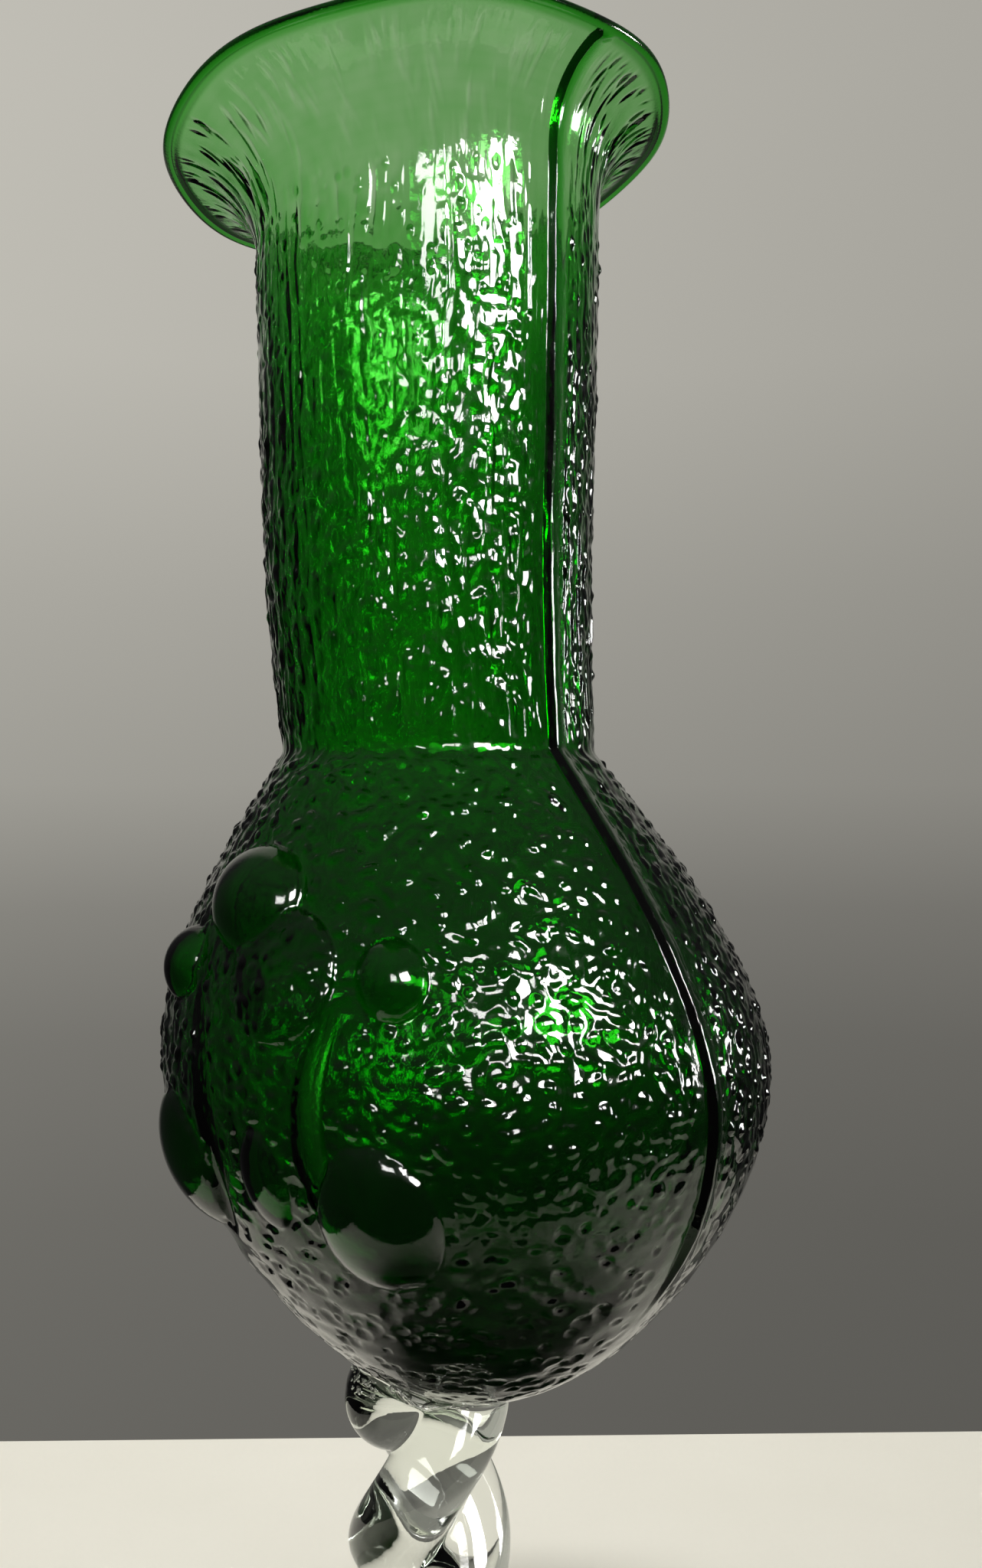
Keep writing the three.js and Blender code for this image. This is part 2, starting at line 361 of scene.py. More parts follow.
def cubic(points, t):
    """Points and directions of a cubic curve at the shares t of its way."""
    a, b, c, d = [np.array(p, float) for p in points]
    t = t[:, None]
    at = (1 - t) ** 3 * a + 3 * (1 - t) ** 2 * t * b + 3 * (1 - t) * t**2 * c + t**3 * d
    along = (1 - t) ** 2 * (b - a) + 2 * (1 - t) * t * (c - b) + t**2 * (d - c)
    return at, along / np.linalg.norm(along, axis=1, keepdims=True)


class Outline:
    """The vessel's outer outline from the lowest place to the lip: radius and height of each
    row, the outward direction there, and the length of wall below it."""

    def __init__(self, pitch):
        at, along = [], []
        start = (0, BULB_BOTTOM)
        shares = np.linspace(0, 1, 60)
        for stretch in OUTLINE:
            points = [start, *stretch]
            rough, _ = cubic(points, shares)
            steps = np.linalg.norm(np.diff(rough, axis=0), axis=1)
            way = np.concatenate([[0], np.cumsum(steps)])
            rows = max(3, round(way[-1] / pitch))
            even = np.interp(np.linspace(0, way[-1], rows + 1)[1:], way, shares)
            places, directions = cubic(points, even)
            at.append(places)
            along.append(directions)
            start = stretch[-1]
        at, along = np.concatenate(at), np.concatenate(along)
        self.r, self.z = at[:, :1], at[:, 1:]
        self.along = along
        self.out = np.stack([along[:, 1], -along[:, 0]], axis=1)
        steps = np.linalg.norm(np.diff(at, axis=0, prepend=[[0, BULB_BOTTOM]]), axis=1)
        self.run = np.cumsum(steps)[:, None]

    def run_at(self, height):
        return np.interp(height, self.z[:, 0], self.run[:, 0])


def place(radius, azimuth, height):
    """A place in the leaning vessel from the radius, azimuth and height in a true one."""
    angle = np.radians(azimuth)
    across = radius * np.sin(angle)
    lean = lerp(BULB_OFFSET, NECK_OFFSET, smoothstep(height, *LEAN_SPAN))
    at_lip = smoothstep(height, NECK_TOP[1], LIP[1])
    tilt = LIP_TILT * across * smoothstep(height, *TILT_SPAN)
    wave = LIP_WAVE * np.sin(LIP_WAVES * angle) * at_lip
    x = lean + LIP_SHIFT * at_lip + across
    return np.stack(np.broadcast_arrays(x, -radius * np.cos(angle), height + tilt + wave), axis=-1)


def apart(azimuth, middle):
    """Degrees from a middle azimuth, from -180 to 180."""
    return (azimuth - middle + 180) % 360 - 180


def vessel_azimuths(count):
    """Azimuths of the mesh's columns, closer together on the seams and over the relief."""
    azimuth = np.linspace(-180, 180, 7201)
    density = 1 + FRONT_DENSITY * np.exp(-((azimuth / FRONT_HALF) ** 4))
    for seam, _ in SEAMS:
        density += SEAM_DENSITY * np.exp(-((apart(azimuth, seam) / SEAM_HALF) ** 2))
    share = np.concatenate([[0], np.cumsum((density[1:] + density[:-1]) / 2)])
    return np.interp(np.arange(count) / count * share[-1], share, azimuth)


class Skin:
    """Height of the moulded outer wall over its plain outline, on a grid of rows and columns."""

    def __init__(self, outline, azimuth):
        self.outline = outline
        self.azimuth = azimuth
        self.height = np.zeros((len(outline.r), len(azimuth)))
        self.across = radians(1) * outline.r

    def window(self, azimuth, run, reach):
        """The rows and columns near a place, and how far across and up each is from it."""
        rows = np.flatnonzero(np.abs(self.outline.run[:, 0] - run) < reach)
        aside = apart(self.azimuth, azimuth)
        columns = np.flatnonzero(np.abs(aside) * self.across[rows].min() < reach)
        x = aside[columns][None, :] * self.across[rows]
        y = self.outline.run[rows] - run
        return np.ix_(rows, columns), x, y

    def stamp(self, azimuth, run, width, tall, proud, form, turn=0.0, top=False):
        """A dome, or a hollow where proud is negative, added or kept where it is higher."""
        where, x, y = self.window(azimuth, run, max(width, tall) / 2)
        x, y = x * cos(turn) - y * sin(turn), x * sin(turn) + y * cos(turn)
        dome = np.maximum(0, 1 - (2 * x / width) ** 2 - (2 * y / tall) ** 2) ** form
        if top:
            self.height[where] = np.maximum(self.height[where], proud * dome)
        else:
            self.height[where] += proud * dome


def add_relief(skin):
    """Balls, tongue, bosses and grooves, as in the model, and how smooth each place is, from 0
    to 1."""
    for azimuth, height, *form in RELIEF:
        skin.stamp(azimuth, skin.outline.run_at(height), *form, top=True)
    smooth = smoothstep(skin.height, *SMOOTH_ABOVE)
    azimuth, height, *form = TONGUE
    skin.stamp(azimuth, skin.outline.run_at(height), *form, top=True)
    foot, top = (skin.outline.run_at(z) for z in (GROOVE_FOOT, GROOVE_TOP))
    along = 2 * (skin.outline.run - foot) / (top - foot) - 1
    for middle, side in GROOVES:
        aside = side * apart(skin.azimuth, middle)[None, :] - GROOVE_BOW * along**2
        x = aside * skin.across / (GROOVE_WIDTH / 2)
        hollow = np.maximum(0, 1 - x * x - along**2) ** GROOVE_FORM
        skin.height -= GROOVE_DEPTH * hollow * (1 - smooth)
        smooth = np.maximum(smooth, smoothstep(hollow, 0, GROOVE_SMOOTH))
    return smooth


def add_seams(skin):
    """Two fins, where one half of the mould stood a little proud of the other, and how near they
    are, from 0 to 1."""
    def uneven(length, seed):
        return noise(skin.outline.run / length, 0.5, 0.5, seed)

    rise = SEAM_HEIGHT * smoothstep(skin.outline.z, *SEAM_STARTS)
    near = np.zeros_like(skin.height)
    for seam, side in SEAMS:
        x = side * apart(skin.azimuth, seam)[None, :] * skin.across
        x = x + SEAM_SWAY * uneven(length=21, seed=15)
        steep = np.clip(1 + x / SEAM_STEEP, 0, 1)
        gentle = 1 - smoothstep(x, 0, SEAM_GENTLE)
        skin.height += rise * (1 + SEAM_UNEVEN * uneven(length=9, seed=16)) * steep * gentle
        near = np.maximum(near, np.exp(-((x / SEAM_CALM) ** 4)))
    return near


def scatter(seed, outline, low, high, area):
    """Random azimuths and runs between two heights, one to each such area."""
    draw = np.random.default_rng(seed)
    inside = (outline.z[:, 0] > low) & (outline.z[:, 0] < high)
    run, radius = outline.run[inside, 0], outline.r[inside, 0]
    ring = 2 * pi * radius * np.gradient(run)
    share = np.cumsum(ring)
    count = int(share[-1] / area)
    runs = np.interp(draw.uniform(0, share[-1], count), share, run)
    return draw, draw.uniform(-180, 180, count), runs


def spaced(seed, outline, low, high, pitch):
    """Azimuths and runs in loose rows, about a pitch apart each way."""
    draw = np.random.default_rng(seed)
    first, last = outline.run_at(low), outline.run_at(high)
    row_gap, sideways, up = 0.86 * pitch, 0.27, 0.22 * pitch
    places = []
    for run in np.arange(first, last, row_gap):
        radius = np.interp(run, outline.run[:, 0], outline.r[:, 0])
        count = max(3, round(2 * pi * radius / pitch))
        turns = (np.arange(count) + draw.uniform()) * 360 / count - 180
        turns += draw.normal(0, sideways, count) * 360 / count
        places += list(zip(turns, run + draw.normal(0, up, count)))
    return draw, places


def add_marks(skin, low, high, seed, area, widths, stretches, side, depths, form, slant):
    """Small marks of one kind, at random between two heights."""
    draw, turns, runs = scatter(seed, skin.outline, low, high, area)
    for turn, run in zip(turns, runs):
        width = draw.uniform(*widths)
        tall = width * draw.uniform(*stretches)
        proud = side * draw.uniform(*depths)
        skin.stamp(turn, run, width, tall, proud, form, draw.uniform(-slant, slant) if slant else 0)


def bark_on_neck(outline, azimuth):
    """Upright ridges with rough tops, and deep slots between some of them."""
    at = (*on_circle(BARK_RADIUS, azimuth), outline.run)
    phase = BARK_RIDGES * np.radians(azimuth) + WANDER * grain(at, wide=13, tall=34, seed=30)
    phase = phase + JITTER * grain(at, wide=5, tall=13, seed=31)
    crest = smoothstep(np.cos(phase), *RIDGE_SPAN)
    slots = smoothstep(grain(at, wide=8, tall=20, seed=32), *SLOTS_SPAN)
    cells = LONG_CELLS * grain(at, wide=4.2, tall=8, seed=33)
    cells = cells + SHORT_CELLS * grain(at, wide=3.7, tall=4.4, seed=34)
    cells = cells * lerp(*CELLS_LOW_AND_HIGH, smoothstep(outline.z, *CELLS_SPAN))
    height = cells * lerp(CELLS_IN_GAPS, 1, crest) - (GAP_DEPTH + SLOT_DEPTH * slots) * (1 - crest)
    bark = Skin(outline, azimuth)
    add_marks(bark, *BARK_SPAN, *PITS)
    add_marks(bark, *BARK_SPAN, *NODULES)
    return height + bark.height


def streaks_on_flare(outline, azimuth):
    """Short grooves that fan out from the neck, fainter at the front, on gentle waves."""
    streaks = Skin(outline, azimuth)
    draw, turns, runs = scatter(13, outline, *STREAK_SPAN, STREAK_AREA)
    for turn, run in zip(turns, runs):
        width, tall = draw.uniform(*STREAK_WIDTH), draw.uniform(*STREAK_LENGTH)
        depth = draw.uniform(*STREAK_DEPTH)
        streaks.stamp(turn, run, width, tall, -depth, STREAK_FORM, draw.normal(0, STREAK_SLANT))
    at = (*on_circle(FLARE_RADIUS, azimuth), outline.run)
    sides = lerp(STREAKS_IN_FRONT, 1, smoothstep(np.abs(azimuth), *FRONT_ENDS))[None, :]
    return streaks.height * sides + FLARE_WAVE * grain(at, wide=5, tall=7, seed=39)


def studs_on_bulb(outline, azimuth):
    """Studs with flat tops on a ground of shallow bowls, and dimples instead of them low down."""
    studs = Skin(outline, azimuth)
    draw, places = spaced(21, outline, *STUDS_SPAN, STUD_PITCH)
    for turn, run in places:
        size = draw.uniform(*STUD_SIZE)
        width = size * draw.choice(STUD_STRETCH, p=STRETCH_SHARES)
        proud = size * draw.uniform(*STUD_PROUD)
        studs.stamp(turn, run, width, size, proud, STUD_FORM, draw.uniform(-STUD_TURN, STUD_TURN))
    add_marks(studs, *DIMPLES_SPAN, *DIMPLES)

    at = (*on_circle(outline.r, azimuth), outline.z)
    low = 1 - smoothstep(outline.z, *LOW_SPAN)
    bowls = -np.sqrt(grain(at, wide=5.6, tall=5.6, seed=35) ** 2 + BOWL_RIDGE)
    ground = BOWL_DEPTH * bowls * (1 - low)
    ground = ground + FINE_WAVE * grain(at, wide=7, tall=6, seed=36)
    ground = ground + BROAD_WAVE * grain(at, wide=16, tall=11, seed=37)
    ground = ground + LOW_WAVE * low * grain(at, wide=15, tall=7, seed=38)
    return studs.height + ground


def add_texture(skin, smooth, near_seam):
    """The mould's texture, which lies below the plain outline and fades beside the seams."""
    outline = skin.outline
    neck = smoothstep(outline.z, *NECK_STARTS)
    flare = smoothstep(outline.z, *FLARE_STARTS)
    rough = lerp(studs_on_bulb(outline, skin.azimuth), bark_on_neck(outline, skin.azimuth), neck)
    rough = lerp(rough, streaks_on_flare(outline, skin.azimuth), flare)
    calm = (1 - smooth) * (1 - CALM_SHARE * near_seam)
    from_bead = outline.run[-1] - outline.run
    setback = lerp(SETBACK, FLARE_SETBACK, flare) * smoothstep(outline.z, *SETBACK_STARTS)
    setback = setback * smoothstep(from_bead, *SETBACK_FROM_BEAD)
    rough = rough * calm * smoothstep(outline.z, *TEXTURE_STARTS)
    skin.height += rough * smoothstep(from_bead, *TEXTURE_FROM_BEAD) - setback


def loft_mesh(name, rings, first_tip, last_tip, inner=None):
    """A closed mesh from rings of places, in millimetres, with a fan at each end. The rings of
    a coarser inner wall follow the finer ones where they're given."""
    rows, columns = rings.shape[:2]
    places = [rings.reshape(-1, 3)]
    index = np.arange(rows * columns).reshape(rows, columns)
    ahead = np.roll(index, -1, axis=1)
    quads = [np.stack([index[:-1], ahead[:-1], ahead[1:], index[1:]], axis=-1).reshape(-1, 4)]
    fans = [(rows * columns, ahead[0, i], index[0, i]) for i in range(columns)]
    others = []
    last, last_ahead = index[-1], ahead[-1]
    count = rows * columns + 1
    places.append(np.array([first_tip], float))
    if inner is not None:
        inner_rows, inner_columns = inner.shape[:2]
        step = columns // inner_columns
        inner_index = count + np.arange(inner_rows * inner_columns).reshape(inner_rows, -1)
        inner_ahead = np.roll(inner_index, -1, axis=1)
        for i in range(inner_columns):
            edge = [int(last[(i * step + k) % columns]) for k in range(step + 1)]
            others.append([*edge, int(inner_ahead[0, i]), int(inner_index[0, i])])
        around = [inner_index[:-1], inner_ahead[:-1], inner_ahead[1:], inner_index[1:]]
        quads.append(np.stack(around, axis=-1).reshape(-1, 4))
        places.append(inner.reshape(-1, 3))
        count += inner_rows * inner_columns
        last, last_ahead = inner_index[-1], inner_ahead[-1]
    places.append(np.array([last_tip], float))
    fans += [(count, int(a), int(b)) for a, b in zip(last, last_ahead)]
    quads = np.concatenate(quads)

    loops = [quads.ravel(), np.array(fans).ravel(), np.array(sum(others, []), int)]
    sizes = [np.full(len(quads), 4), np.full(len(fans), 3), np.array([len(o) for o in others], int)]
    return make_mesh(name, np.concatenate(places), np.concatenate(loops), np.concatenate(sizes))


def make_mesh(name, places, loops, sizes):
    """A smooth piece from places in millimetres, the corners of its faces, and their counts."""
    mesh = bpy.data.meshes.new(name)
    mesh.vertices.add(len(places))
    mesh.vertices.foreach_set("co", (places * MM).astype(np.float32).ravel())
    mesh.loops.add(len(loops))
    mesh.loops.foreach_set("vertex_index", loops.astype(np.int32))
    mesh.polygons.add(len(sizes))
    starts = np.concatenate([[0], np.cumsum(sizes)[:-1]])
    mesh.polygons.foreach_set("loop_start", starts.astype(np.int32))
    mesh.update(calc_edges=True)
    mesh.validate()
    mesh.shade_smooth()
    piece = bpy.data.objects.new(name, mesh)
    bpy.context.scene.collection.objects.link(piece)
    return piece


def outer_rings(outline, azimuth):
    """The moulded outer wall, with its relief, seams and texture."""
    skin = Skin(outline, azimuth)
    smooth = add_relief(skin)
    near_seam = add_seams(skin)
    add_texture(skin, smooth, near_seam)
    radius = outline.r + skin.height * outline.out[:, :1]
    height = outline.z + skin.height * outline.out[:, 1:]
    return place(radius, azimuth[None, :], height)


def bead_rings(outline, azimuth):
    """The lip's rounded edge, from the outer wall over to the inner one."""
    out, along = outline.out[-1], outline.along[-1]
    middle = np.array(LIP, float) - out * LIP_WALL / 2 + along * BEAD_AHEAD * BEAD_RADIUS
    turns = np.radians(np.linspace(BEAD_TURN, -BEAD_TURN, 17))
    bead = middle + BEAD_RADIUS * (np.cos(turns)[:, None] * along + np.sin(turns)[:, None] * out)
    return place(bead[:, :1], azimuth[None, :], bead[:, 1:])


def wall_thickness(outline, azimuth):
    """Thickness of the vessel's wall, which is hollow behind the relief, as blown glass is."""
    angle = np.radians(azimuth)[None, :]
    r, z = outline.r, outline.z
    at = (r * np.sin(angle), r * np.cos(angle), z)
    wall = lerp(BULB_WALL, NECK_WALL, smoothstep(z, *NECK_WALL_SPAN))
    wall = lerp(wall, LIP_WALL, smoothstep(z, *LIP_WALL_SPAN))
    ripples = grain(at, wide=13, tall=15, seed=41) * smoothstep(z, *RIPPLES_START)
    ripples = ripples * (1 - smoothstep(z, *RIPPLES_END))
    above_bulb = smoothstep(z, *BULB_TO_NECK)
    wall = wall - lerp(*RIPPLE, above_bulb) * ripples
    at_back = smoothstep(-np.cos(angle), *BACK_STARTS) * (1 - above_bulb)
    wall = wall - BACK_LUMP * at_back * grain(at, wide=6, tall=6, seed=42)
    wall = wall + FLOOR_EXTRA * (1 - smoothstep(z, *FLOOR_SPAN))
    aside = (azimuth[None, :] - THIN_AT[0]) / THIN_REACH[0]
    up = (z - THIN_AT[1]) / THIN_REACH[1]
    wall = wall - THIN * np.exp(-(aside**2) - up**2)
    hollows = Skin(outline, azimuth)
    for middle, height, width, tall, proud, _ in [*RELIEF, TONGUE]:
        hollows.stamp(
            middle, outline.run_at(height), HOLLOW_SIZE * width, HOLLOW_SIZE * tall,
            HOLLOW_DEPTH * proud, HOLLOW_FORM, top=True,
        )
    return wall - hollows.height


def inner_rings(azimuth):
    """The inner wall, from the lip down to the floor of the bulb."""
    outline = Outline(INNER_PITCH)
    wall = wall_thickness(outline, azimuth)
    radius = outline.r - wall * outline.out[:, :1]
    height = outline.z - wall * outline.out[:, 1:]
    return place(radius, azimuth[None, :], height)[:-1][::-1]


def make_vessel():
    outline = Outline(VESSEL_PITCH * COARSER)
    azimuth = vessel_azimuths(VESSEL_COLUMNS // COARSER)
    rings = np.concatenate([outer_rings(outline, azimuth), bead_rings(outline, azimuth)])
    floor = BULB_BOTTOM + BULB_WALL + FLOOR_EXTRA
    tips = [(BULB_OFFSET, 0, BULB_BOTTOM), (BULB_OFFSET, 0, floor)]
    return loft_mesh("vessel_glass", rings, *tips, inner=inner_rings(azimuth[::INNER_STEP]))


def underside(x, y):
    """Height of the bulb's outer wall near its lowest place, over a place beside the axis."""
    outline = Outline(0.5)
    low = outline.z[:, 0] < UNDERSIDE_TOP
    reach = np.hypot(x - BULB_OFFSET, y)
    radii = np.concatenate([[0], outline.r[low, 0]])
    heights = np.concatenate([[BULB_BOTTOM], outline.z[low, 0]])
    return np.interp(reach, radii, heights)


def gather_reach(angle, height, axes, tilt, centre):
    """How far an ellipsoid of the joint reaches from the stem's axis, or 0 where it doesn't."""
    turn = radians(tilt)
    up = height - centre[1]
    # a place is p + reach * d in the ellipsoid's own axes
    dx, dz = np.cos(angle) * cos(turn), np.cos(angle) * sin(turn)
    px = -centre[0] * cos(turn) - up * sin(turn)
    pz = -centre[0] * sin(turn) + up * cos(turn)
    wide, deep, tall = axes
    a = (dx / wide) ** 2 + (np.sin(angle) / deep) ** 2 + (dz / tall) ** 2
    b = 2 * (px * dx / wide**2 + pz * dz / tall**2)
    c = (px / wide) ** 2 + (pz / tall) ** 2 - 1
    inside = b * b - 4 * a * c
    reach = (-b + np.sqrt(np.maximum(inside, 0))) / (2 * a)
    return np.where((inside > 0) & (reach > 0), reach, 0)


def stem_reach(angle, height):
    """How far the stem and the joint's gathers reach from the axis."""
    parted = smoothstep(height, FOOT_HEIGHT, COLLAR_HEIGHT)
    closing = np.maximum(0, (height - TWIST_END) / (STEM_TOP - TWIST_END))
    radius = lerp(COLLAR_RADIUS, STRAND_RADIUS, parted)
    radius = radius * np.sqrt(1 - RADIUS_CLOSES * np.minimum(closing, 1) ** 2)
    offset = STRAND_OFFSET * parted * (1 - OFFSET_CLOSES * closing)
    turn = angle - 2 * pi * (np.minimum(height, TWIST_END) - TWIST_END) / STEM_PITCH
    along = np.sqrt((offset * np.cos(turn)) ** 2 + FURROW_ROUND * parted)
    reach = along + np.sqrt(np.maximum(radius**2 - (offset * np.sin(turn)) ** 2, 0.1))
    reach = reach - FURROW_DRAWN_IN * parted
    for form in GATHERS:
        pad = gather_reach(angle, height, *form)
        mix = np.clip(0.5 + 0.5 * (reach - pad) / GATHER_BLEND, 0, 1)
        blend = lerp(pad, reach, mix) + GATHER_BLEND * mix * (1 - mix) / 2
        reach = np.where(pad > 0, np.maximum(blend, reach), reach)
    return reach


def stem_rings(columns, rows, cap_rows):
    """Rings of the fused stem: up the side to the bulb's underside, then inward along it."""
    angle = np.arange(columns) / columns * 2 * pi
    low, high = (np.full(columns, float(height)) for height in JOINT_SPAN)
    for _ in range(30):
        middle = (low + high) / 2
        reach = stem_reach(angle, middle)
        over = middle > underside(reach * np.cos(angle), reach * np.sin(angle))
        low, high = np.where(over, low, middle), np.where(over, middle, high)
    # rows stand closer together toward the joint
    share = 1 - (1 - np.linspace(0, 1, rows)[:, None]) ** 1.25
    height = lerp(FOOT_HEIGHT - STEM_SUNK, low[None, :], share)
    reach = stem_reach(angle[None, :], height)
    reach = reach + MENISCUS * np.exp(-(low[None, :] - height) / MENISCUS)
    x, y = reach * np.cos(angle), reach * np.sin(angle)
    height[-1] = underside(x[-1], y[-1]) + STEM_SUNK
    side = np.stack([x, y, height], axis=-1)
    inward = np.linspace(1, 0, cap_rows + 1)[1:-1, None]
    x, y = x[-1] * inward, y[-1] * inward
    cap = np.stack([x, y, underside(x, y) + STEM_SUNK], axis=-1)
    return np.concatenate([side, cap])


def front_of_stem(x, z):
    """The stem's nearest place to the viewer, across and up from its axis, as a depth."""
    depth = np.linspace(0, 30, 601)
    angle = np.arctan2(-depth, x)
    inside = (np.hypot(x, depth) < stem_reach(angle, z)) & (z < underside(x, -depth))
    return depth[inside].max() if inside.any() else 0.0


def bubble(x, z, across, deep, tall, sunk):
    """Faces of an air bubble, which turn in, to stand just behind the stem's front."""
    columns, rows = 20, 11
    y = -(front_of_stem(x, z) - sunk - deep / 2)
    turn = np.arange(columns) / columns * 2 * pi
    rise = np.linspace(-pi / 2, pi / 2, rows + 2)[1:-1, None]
    ring = np.stack(np.broadcast_arrays(
        x + across / 2 * np.cos(rise) * np.cos(turn),
        y + deep / 2 * np.cos(rise) * np.sin(turn),
        z + tall / 2 * np.sin(rise),
    ), axis=-1)
    places = np.concatenate([ring.reshape(-1, 3), [[x, y, z - tall / 2], [x, y, z + tall / 2]]])
    index = np.arange(rows * columns).reshape(rows, columns)
    ahead = np.roll(index, -1, axis=1)
    quads = np.stack([index[:-1], index[1:], ahead[1:], ahead[:-1]], axis=-1).reshape(-1, 4)
    count = rows * columns
    fans = [(count, int(a), int(b)) for a, b in zip(index[0], ahead[0])]
    fans += [(count + 1, int(b), int(a)) for a, b in zip(index[-1], ahead[-1])]
    return places, quads, np.array(fans)


def joint_bubbles():
    """All the air bubbles in the joint: the larger ones, and the froth at the left."""
    bubbles = [bubble(*form, BUBBLES_SUNK) for form in BUBBLES]
    draw = np.random.default_rng(51)
    for _ in range(FROTH_BUBBLES):
        x = FROTH_AT[0] + draw.uniform(-0.5, 0.5) * FROTH_SIZE[0]
        z = FROTH_AT[1] + draw.uniform(-0.5, 0.5) * FROTH_SIZE[1]
        size = draw.uniform(*FROTH_BUBBLE)
        sunk = draw.uniform(*FROTH_SUNK)
        if front_of_stem(x, z) > sunk + size:
            tall = size * draw.uniform(*FROTH_TALL)
            bubbles.append(bubble(x, z, size, size * FROTH_DEEP, tall, sunk))
    return bubbles


def make_stem():
    """The stem and the joint as one piece of clear glass, with air bubbles in it."""
    rings = stem_rings(columns=360 // COARSER, rows=190 // COARSER, cap_rows=26)
    low_tip = (0, 0, FOOT_HEIGHT - STEM_SUNK)
    high_tip = (0, 0, float(underside(0.0, 0.0)) + STEM_SUNK)
    piece = loft_mesh("stem_glass", rings, low_tip, high_tip)

    places, faces = [], []
    for corners, quads, fans in joint_bubbles():
        start = sum(len(p) for p in places)
        places.append(corners)
        faces += (quads + start).tolist() + (fans + start).tolist()
    air = bpy.data.meshes.new("bubbles")
    air.from_pydata((np.concatenate(places) * MM).tolist(), [], faces)
    both = bpy.data.meshes.new("stem_glass")
    joined = bmesh.new()
    joined.from_mesh(piece.data)
    joined.from_mesh(air)
    joined.to_mesh(both)
    joined.free()
    both.shade_smooth()
    piece.data = both
    return piece


def make_foot():
    """The foot: a flat ring to stand on, a slight hollow inside it, and a swept top."""
    edge = FOOT_EDGE / 2
    hollow = [
        (r, FOOT_HOLLOW * (1 - (r / FOOT_HOLLOW_RADIUS) ** 2) ** 2)
        for r in np.linspace(2, FOOT_HOLLOW_RADIUS, 22)
    ]
    ring = [(r, 0.0) for r in np.linspace(FOOT_HOLLOW_RADIUS + 0.5, FOOT_RADIUS - edge, 6)]
    arc = [
        (FOOT_RADIUS - edge + edge * cos(a), edge + edge * sin(a))
        for a in np.radians(np.linspace(-80, 60, 14))
    ]
    top = [arc[-1], (44, 10), (25, 11), (FOOT_NECK, FOOT_NECK_HEIGHT)]
    sweep, _ = cubic(top, np.linspace(0, 1, 60))
    neck = [
        (lerp(FOOT_NECK, COLLAR_RADIUS, t), lerp(FOOT_NECK_HEIGHT, FOOT_HEIGHT, t))
        for t in (0.5, 1)
    ]
    inward = [(r, FOOT_HEIGHT) for r in np.linspace(COLLAR_RADIUS - 1, 1, 8)]
    profile = np.array([*hollow, *ring, *arc, *sweep[1:], *neck, *inward])
    turn = np.arange(240) / 240 * 2 * pi
    rings = np.stack(np.broadcast_arrays(
        profile[:, :1] * np.cos(turn), profile[:, :1] * np.sin(turn), profile[:, 1:]
    ), axis=-1)
    return loft_mesh("foot_glass", rings, (0, 0, FOOT_HOLLOW), (0, 0, FOOT_HEIGHT))


class Nodes:
    """Shorthand to make and join the nodes of one tree."""

    def __init__(self, tree):
        self.tree = tree
        tree.nodes.clear()

    def add(self, kind, **values):
        """A node with values for its sockets and its own settings."""
        node = self.tree.nodes.new(kind)
        for name, value in values.items():
            if name in node.inputs.keys():
                node.inputs[name].default_value = value
            else:
                setattr(node, name, value)
        return node

    def join(self, source, target):
        self.tree.links.new(source, target)

    def math(self, operation, *values):
        """The outcome of a sum on numbers and on other nodes' outcomes."""
        node = self.add("ShaderNodeMath", operation=operation)
        for value, socket in zip(values, node.inputs):
            if isinstance(value, float):
                socket.default_value = value
            else:
                self.join(value, socket)
        return node.outputs[0]

    def fade(self, value, low, high, kind="SMOOTHSTEP", ends=(0, 1)):
        """From one end to the other as the value goes from low to high."""
        node = self.add("ShaderNodeMapRange", interpolation_type=kind)
        node.inputs["From Min"].default_value = low
        node.inputs["From Max"].default_value = high
        node.inputs["To Min"].default_value = ends[0]
        node.inputs["To Max"].default_value = ends[1]
        self.join(value, node.inputs["Value"])
        return node.outputs["Result"]


def glass(name, density, colour, ior, ripple_size, ripple_height, haze):
    """Clear or coloured glass: the colour comes from its depth, and fine ripples of the given
    size and height, in metres, and a little haze break up the shine. Lamps shine through it."""
    material = bpy.data.materials.new(name)
    material.use_nodes = True
    nodes = Nodes(material.node_tree)
    output = nodes.add("ShaderNodeOutputMaterial")
    shader = nodes.add("ShaderNodeBsdfPrincipled", IOR=ior)
    shader.inputs["Base Color"].default_value = (1, 1, 1, 1)
    shader.inputs["Transmission Weight"].default_value = 1
    where = nodes.add("ShaderNodeTexCoord").outputs["Object"]
    ripples = nodes.add("ShaderNodeTexNoise", Scale=1 / ripple_size, Detail=3.0, Roughness=0.45)
    bump = nodes.add("ShaderNodeBump", Strength=1.0, Distance=ripple_height)
    clouds = nodes.add("ShaderNodeTexNoise", Scale=90.0, Detail=4.0)
    rough = nodes.fade(clouds.outputs["Fac"], 0.4, 0.75, "LINEAR", haze)
    nodes.join(where, ripples.inputs["Vector"])
    nodes.join(where, clouds.inputs["Vector"])
    nodes.join(ripples.outputs["Fac"], bump.inputs["Height"])
    nodes.join(bump.outputs["Normal"], shader.inputs["Normal"])
    nodes.join(rough, shader.inputs["Roughness"])
    path = nodes.add("ShaderNodeLightPath")
    through = nodes.add("ShaderNodeBsdfTransparent", Color=(0.9, 0.9, 0.9, 1))
    mix = nodes.add("ShaderNodeMixShader")
    nodes.join(path.outputs["Is Shadow Ray"], mix.inputs[0])
    nodes.join(shader.outputs[0], mix.inputs[1])
    nodes.join(through.outputs[0], mix.inputs[2])
    nodes.join(mix.outputs[0], output.inputs["Surface"])
    inside = nodes.add("ShaderNodeVolumeAbsorption", Density=density, Color=(*colour, 1))
    nodes.join(inside.outputs[0], output.inputs["Volume"])
    return material


